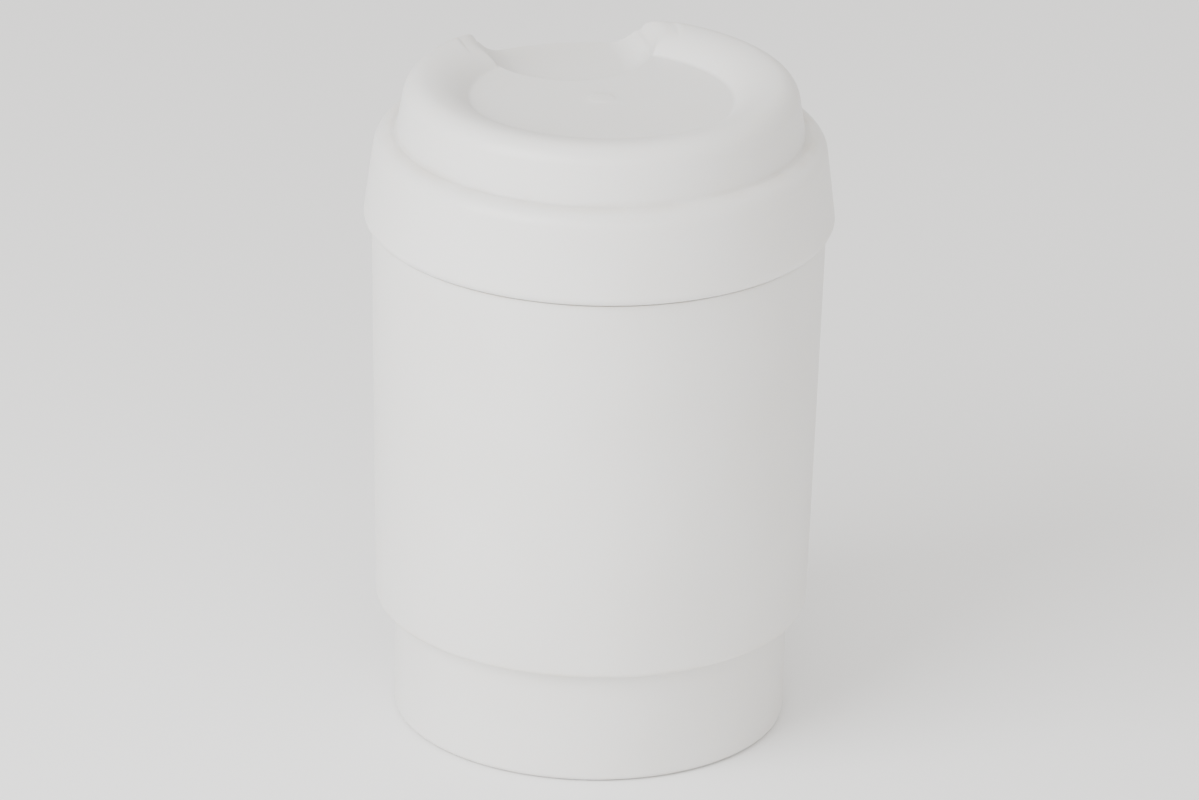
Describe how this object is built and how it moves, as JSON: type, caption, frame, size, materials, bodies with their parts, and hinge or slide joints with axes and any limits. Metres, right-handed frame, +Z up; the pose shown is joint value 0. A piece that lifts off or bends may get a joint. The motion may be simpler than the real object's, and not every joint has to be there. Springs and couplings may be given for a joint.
{
  "type": "rock tumbler barrel",
  "caption": "White moulded tumbling barrel with a stepped foot, a push-on lid with a C-shaped grip rim and finger gap, and a sealing ring.",
  "frame": {"origin": "middle of the standing face, on the barrel's axis", "axes": "+Z up along the barrel's axis, +Y towards the gap in the lid's rim"},
  "size_m": [0.116, 0.116, 0.1671],
  "materials": {
    "barrel_plastic": "satin moulded polyethylene, off-white",
    "lid_plastic": "satin moulded polyethylene, off-white, a little glossier",
    "seal_rubber": "soft pale elastomer"
  },
  "bodies": {
    "barrel": {"barrel": "barrel_plastic"},
    "seal_ring": {"seal_ring": "seal_rubber"},
    "lid": {"lid": "lid_plastic"}
  },
  "joints": [
    {"name": "lid_pull", "type": "slide", "parent": "barrel", "child": "seal_ring", "axis": [0, 0, 1], "range_m": [0, 0.06]},
    {"name": "lid_turn", "type": "hinge", "parent": "seal_ring", "child": "lid", "pos_m": [0, 0, 0.15], "axis": [0, 0, 1], "continuous": true}
  ]
}
